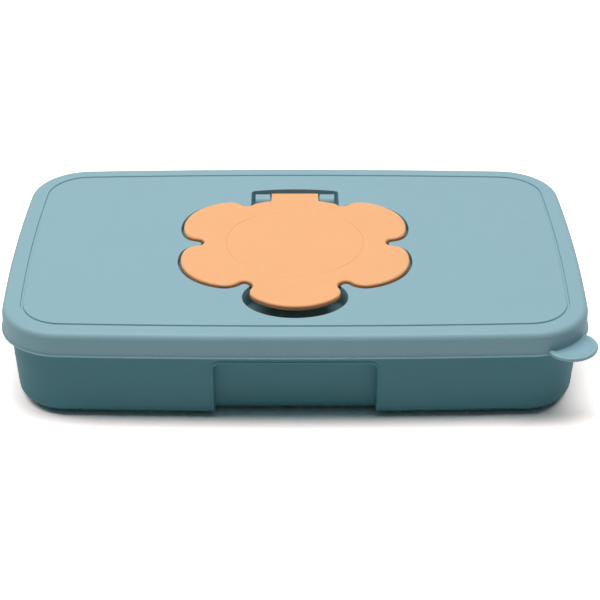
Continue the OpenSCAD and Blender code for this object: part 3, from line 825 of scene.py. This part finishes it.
def lid_piece():
    """The lid with its ribs, pockets, knuckles and the seat of the soft insert, as one moulding."""
    lid = lid_shell()
    walls = [
        lid_rib(),
        tub("pocket_tub", cap_pocket_outline, POCKET_Z - POCKET_WALL),
        tub("notch_tub", notch_outline, NOTCH_Z - POCKET_WALL),
        tub("hinge_tub", hinge_outline, HINGE_Z - POCKET_WALL),
        pull_tab(),
    ]
    boss_r, low, high = INSERT_R + SEAT_WALL, SEAT_Z - SEAT_LEDGE, POCKET_Z - BITE
    boss = [(0, low), (boss_r - ROUND, low), (boss_r, low + ROUND), (boss_r, high), (0, high)]
    walls.append(turned_solid("boss", boss, (0, CAP_Y)))
    combine(lid, walls, "UNION")
    over = LID_TOP + BITE
    seat_r = INSERT_R + INSERT_SLIP
    seat = [(0, low - BITE), (MOUTH_R + ROUND, low - BITE), (MOUTH_R, low + ROUND),
            (MOUTH_R, SEAT_Z), (seat_r, SEAT_Z), (seat_r, POCKET_Z - ROUND),
            (seat_r + ROUND, POCKET_Z + FINE), (seat_r + ROUND, over), (0, over)]
    cuts = [
        pocket("cap_pocket", cap_pocket_outline, POCKET_Z, POCKET_SOFT),
        pocket("finger_notch", notch_outline, NOTCH_Z, NOTCH_SOFT),
        pocket("hinge_recess", hinge_outline, HINGE_Z, HINGE_SOFT),
        turned_solid("mouth", seat, (0, CAP_Y)),
    ]
    combine(lid, cuts, "DIFFERENCE")
    combine(lid, [knuckle(-1), knuckle(1)], "UNION")
    length = pin_high.x - pin_low.x
    bore = rod("bore", PIN_R + PIN_GRIP, -length, length, PIN, BORE_SOFT)
    combine(lid, [bore], "DIFFERENCE")
    return merge_close_points(lid)


def gasket_piece():
    """Soft ring between the tray's rim and the plate."""
    low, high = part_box("lid_gasket")
    outer, inner = SKIRT_INNER + GASKET_SLIP, LID_RIB_IN - GASKET_SLIP
    rounding = [(i, low.z + ROUND + up) for i, up in round_section(EDGE_STEPS, ROUND, 1, -1)]
    loops = [at(plan(outer), high.z)]
    loops += [at(plan(outer + i), z) for i, z in rounding]
    loops += [at(plan(inner - i), z) for i, z in reversed(rounding)]
    loops += [at(plan(inner), high.z), at(plan(outer), high.z)]
    return solid("gasket_ring", loops, ring=True)


# ---------- Cap ----------


def hinge_tab():
    """The cap's rear tab: a flat strip that ends in a barrel, flush with the cap's top."""
    front = CAP_Y + DISC_R - HINGE_TAB_ROOT

    def section(inset):
        radius = BARREL_R - inset
        low, high = CAP_Z + inset, CAP_TOP - inset
        start = 180 - math.degrees(math.asin((low - PIN.z) / radius))
        around = arc((PIN.y, PIN.z), radius, start, 360 + 90, BARREL_STEPS)
        return [Vector((front, low))] + around + [Vector((PIN.y, high)), Vector((front, high))]

    flat = HINGE_TAB_W / 2 - HINGE_TAB_SOFT
    ends = [(flat + up, i) for i, up in round_section(RIM_STEPS, HINGE_TAB_SOFT, 1, 1)]
    stations = [(-x, i) for x, i in reversed(ends)] + ends
    return solid("hinge_tab", [[Vector((x, p.x, p.y)) for p in section(i)] for x, i in stations])


def sealing_rib():
    """The rib under the cap that carries its seal."""
    inner, outer = SEAL_R - RIB_T / 2, SEAL_R + RIB_T / 2
    low, high = CAP_Z - RIB_H, CAP_Z + BITE
    profile = [(inner, high), (inner, low + FINE), (inner + FINE, low), (outer - FINE, low),
               (outer, low + FINE), (outer, high)]
    return turned_solid("seal_rib", profile, (0, CAP_Y))


def latch_tongue():
    """The small tongue under the front petal, tapered at its tip."""
    middle, tip_z = NOTCH_BACK - LATCH_GAP - LATCH_T / 2, CAP_Z - LATCH_H

    def outline(width, thick):
        corners = ((-1, -1), (1, -1), (1, 1), (-1, 1))
        return [Vector((x * width / 2, middle + y * thick / 2)) for x, y in corners]

    root = outline(LATCH_W, LATCH_T)
    tip = outline(LATCH_W * LATCH_TIP_W, LATCH_T * LATCH_TIP_T)
    return solid("tongue", [at(tip, tip_z), at(root, tip_z + ROUND), at(root, CAP_Z + BITE)])


def sink_mark():
    """What is cut from the cap's top for the shallow mark that the rib beneath leaves."""
    inner, outer, rim = SEAL_R - SINK_HALF, SEAL_R + SINK_HALF, CAP_TOP + MICRON
    profile = [(inner, CAP_TOP + FINE), (inner, rim), (SEAL_R, CAP_TOP - SINK_DEEP), (outer, rim),
               (outer, CAP_TOP + FINE)]
    return turned_solid("sink_mark", profile, (0, CAP_Y), FINE_ROUND_STEPS)


def cap_piece():
    """The flower with its hinge tab, sealing rib and latch tongue, as one moulding."""
    under = reversed(round_section(EDGE_STEPS, ROUND, 1, -1))
    loops = [at(flower(i), CAP_Z + ROUND + up) for i, up in under]
    over = round_section(CAP_EDGE_STEPS, CAP_EDGE_R, 1, 1)
    loops += [at(flower(i), CAP_TOP - CAP_EDGE_R + up) for i, up in over]
    cap = solid("flower_cap", loops)
    combine(cap, [hinge_tab(), sealing_rib(), latch_tongue()], "UNION")
    bore = rod("bore", PIN_R + PIN_PLAY, -HINGE_TAB_W, HINGE_TAB_W, PIN, BORE_SOFT)
    return combine(cap, [sink_mark(), bore], "DIFFERENCE")


def seal_piece():
    """The ring on the cap's rib: a channel with a rounded lower edge."""
    low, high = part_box("cap_seal")
    outer = (high.x - low.x) / 2
    inner = 2 * SEAL_R - outer
    top, roof = high.z, CAP_Z - RIB_H - SEAL_OVER
    slot_in, slot_out = SEAL_R - RIB_T / 2 - SEAL_SLIP, SEAL_R + RIB_T / 2 + SEAL_SLIP
    rounding = [(i, low.z + SEAL_SOFT + up) for i, up in round_section(RIM_STEPS, SEAL_SOFT, 1, -1)]
    profile = [(outer, top)] + [(outer - i, z) for i, z in rounding]
    profile += [(inner + i, z) for i, z in reversed(rounding)]
    profile += [(inner, top), (slot_in, top), (slot_in, roof), (slot_out, roof), (slot_out, top)]
    return turned_solid("cap_seal_ring", profile, (0, CAP_Y))


def pin_piece():
    """The steel pin through the knuckles and the cap's tab."""
    return rod("hinge_pin_rod", PIN_R, pin_low.x, pin_high.x, PIN, PIN_SOFT, PIN_STEPS)


# ---------- Opening ----------


def insert_piece():
    """The soft disc with a lipped slot that the wipes are pulled through."""
    top = SEAT_Z + INSERT_T
    lip_low = top + SLOT_LIP_H - SLOT_LIP_SOFT
    lip = [(i, lip_low + up) for i, up in round_section(EDGE_STEPS, SLOT_LIP_SOFT, 1, 1)]

    def disc(radius):
        return circle((0, CAP_Y), radius, SLOT_STEPS)

    loops = [at(disc(INSERT_R), SEAT_Z + SOFT)]
    disc_edge = round_section(DISC_EDGE_STEPS, SOFT, 1, 1)
    loops += [at(disc(INSERT_R - i), top - SOFT + up) for i, up in disc_edge]
    loops += [at(slot_outline(SLOT_LIP_W + SOFT), top)]
    loops += [at(slot_outline(SLOT_LIP_W - i), z) for i, z in lip]
    loops += [at(slot_outline(i), z) for i, z in reversed(lip)]
    loops += [at(slot_outline(0), SEAT_Z + SOFT), at(slot_outline(SOFT), SEAT_Z)]
    loops += [at(disc(INSERT_R - SOFT), SEAT_Z), at(disc(INSERT_R), SEAT_Z + SOFT)]
    return solid("wipe_slot_disc", loops, ring=True)


def ring_piece():
    """The snap ring that clamps the soft disc from above."""
    low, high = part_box("retaining_ring")
    profile = [(MOUTH_R, low.z), (INSERT_R - SOFT, low.z), (INSERT_R, low.z + SOFT),
               (INSERT_R, high.z - SOFT), (INSERT_R - SOFT, high.z), (MOUTH_R + SOFT, high.z),
               (MOUTH_R, high.z - SOFT)]
    return turned_solid("snap_ring", profile, (0, CAP_Y))


# ---------- Assembly ----------

dress(tray_piece(), "tray", ["tray"], TRAY_PLASTIC)
for corner in ("front_left", "front_right", "rear_left", "rear_right"):
    foot_node = "foot_" + corner
    dress(foot_piece(foot_node), "tray", [foot_node], FOOT_RUBBER)
dress(lid_piece(), "lid", ["lid"], LID_PLASTIC)
dress(gasket_piece(), "lid", ["lid_gasket"], SILICONE)
dress(pin_piece(), "lid", ["hinge_pin"], PIN_STEEL)
dress(insert_piece(), "lid", ["aperture_insert"], SILICONE)
dress(ring_piece(), "lid", ["retaining_ring"], LID_PLASTIC)
dress(cap_piece(), "cap", ["flip_cap"], CAP_PLASTIC)
dress(seal_piece(), "cap", ["cap_seal"], SILICONE)

# ---------- Floor, light and camera ----------

WHITE = (1, 1, 1, 1)
FLOOR_HALF = 0.5
# The floor's own colour, and the one that makes it white to the camera
FLOOR_COLOUR = (0.92, 0.945, 0.955, 1)
FLOOR_SHOWN = (1.85, 1.7, 1.65, 1)
ROOM_COLOUR, ROOM_STRENGTH = (1, 0.99, 0.98, 1), 0.012
LAMP_PLACE = (-0.13, 0.0, 1.1)
LAMP_W, LAMP_D, LAMP_POWER = 2.2, 0.7, 18.8
CAMERA_PLACE = (-0.657 * MM, -647.57 * MM, 394.13 * MM)
CAMERA_DOWN, CAMERA_RIGHT, CAMERA_ROLL = 0.5308, 0.0042, 0.0016
CAMERA_LENS, CAMERA_SENSOR = 108.55, 36
CAMERA_NEAR, CAMERA_FAR = 0.01, 50


def in_view(tree):
    """1 for what the camera, gloss and glass show, and 0 for light that spreads."""
    path = new_node(tree, "LightPath", (-700, 300))
    mirror = new_node(tree, "Math", (-500, 200), operation="MAXIMUM")
    both = new_node(tree, "Math", (-300, 300), operation="MAXIMUM")
    tree.links.new(path.outputs["Is Glossy Ray"], mirror.inputs[0])
    tree.links.new(path.outputs["Is Transmission Ray"], mirror.inputs[1])
    tree.links.new(path.outputs["Is Camera Ray"], both.inputs[0])
    tree.links.new(mirror.outputs[0], both.inputs[1])
    return both.outputs[0]


def paper_floor():
    """A pale floor that looks white to the camera and keeps the shadow."""
    material = bpy.data.materials.new("pale paper")
    material.use_nodes = True
    tree = material.node_tree
    tree.nodes.clear()
    out = new_node(tree, "OutputMaterial", (300, 0))
    plain = new_node(tree, "BsdfDiffuse", (-100, 100), Color=FLOOR_COLOUR)
    shown = new_node(tree, "BsdfDiffuse", (-100, -100), Color=FLOOR_SHOWN)
    path = new_node(tree, "LightPath", (-300, 0))
    mix = new_node(tree, "MixShader", (100, 0))
    tree.links.new(path.outputs["Is Camera Ray"], mix.inputs["Fac"])
    tree.links.new(plain.outputs[0], mix.inputs[1])
    tree.links.new(shown.outputs[0], mix.inputs[2])
    tree.links.new(mix.outputs[0], out.inputs["Surface"])
    return material


def floor_piece():
    """The square of floor that the dispenser stands on."""
    bm = bmesh.new()
    bmesh.ops.create_grid(bm, x_segments=1, y_segments=1, size=FLOOR_HALF)
    floor = made("floor", bm)
    floor.data.materials.append(paper_floor())


def studio_world():
    """A white backdrop that gives the object hardly any light."""
    world = bpy.data.worlds.new("studio")
    bpy.context.scene.world = world
    world.use_nodes = True
    tree = world.node_tree
    tree.nodes.clear()
    out = new_node(tree, "OutputWorld", (300, 0))
    room = new_node(tree, "Background", (0, 100), Color=ROOM_COLOUR, Strength=ROOM_STRENGTH)
    backdrop = new_node(tree, "Background", (0, -100), Color=WHITE, Strength=1.0)
    mix = new_node(tree, "MixShader", (150, 0))
    tree.links.new(in_view(tree), mix.inputs["Fac"])
    tree.links.new(room.outputs[0], mix.inputs[1])
    tree.links.new(backdrop.outputs[0], mix.inputs[2])
    tree.links.new(mix.outputs[0], out.inputs["Surface"])


def overhead_lamp():
    """A level oval panel that shines straight down."""
    data = bpy.data.lights.new("overhead", "AREA")
    data.shape = "ELLIPSE"
    data.size = LAMP_W
    data.size_y = LAMP_D
    data.energy = LAMP_POWER
    lamp = bpy.data.objects.new("overhead", data)
    lamp.location = LAMP_PLACE
    bpy.context.scene.collection.objects.link(lamp)


def camera():
    """The photograph's view, from the camera's place and its turns down, right and in roll."""
    data = bpy.data.cameras.new("camera")
    data.sensor_width = CAMERA_SENSOR
    data.lens = CAMERA_LENS
    data.clip_start = CAMERA_NEAR
    data.clip_end = CAMERA_FAR
    view = bpy.data.objects.new("camera", data)
    view.location = CAMERA_PLACE
    level = Vector((math.sin(CAMERA_RIGHT), math.cos(CAMERA_RIGHT), 0))
    ahead = level * math.cos(CAMERA_DOWN) - Vector((0, 0, math.sin(CAMERA_DOWN)))
    right = Vector((math.cos(CAMERA_RIGHT), -math.sin(CAMERA_RIGHT), 0))
    up = right.cross(ahead)
    side = right * math.cos(CAMERA_ROLL) + up * math.sin(CAMERA_ROLL)
    top = up * math.cos(CAMERA_ROLL) - right * math.sin(CAMERA_ROLL)
    view.rotation_euler = Matrix((side, top, -ahead)).transposed().to_euler()
    bpy.context.scene.collection.objects.link(view)
    bpy.context.scene.camera = view


floor_piece()
studio_world()
overhead_lamp()
camera()
bpy.context.scene.view_settings.view_transform = "Standard"
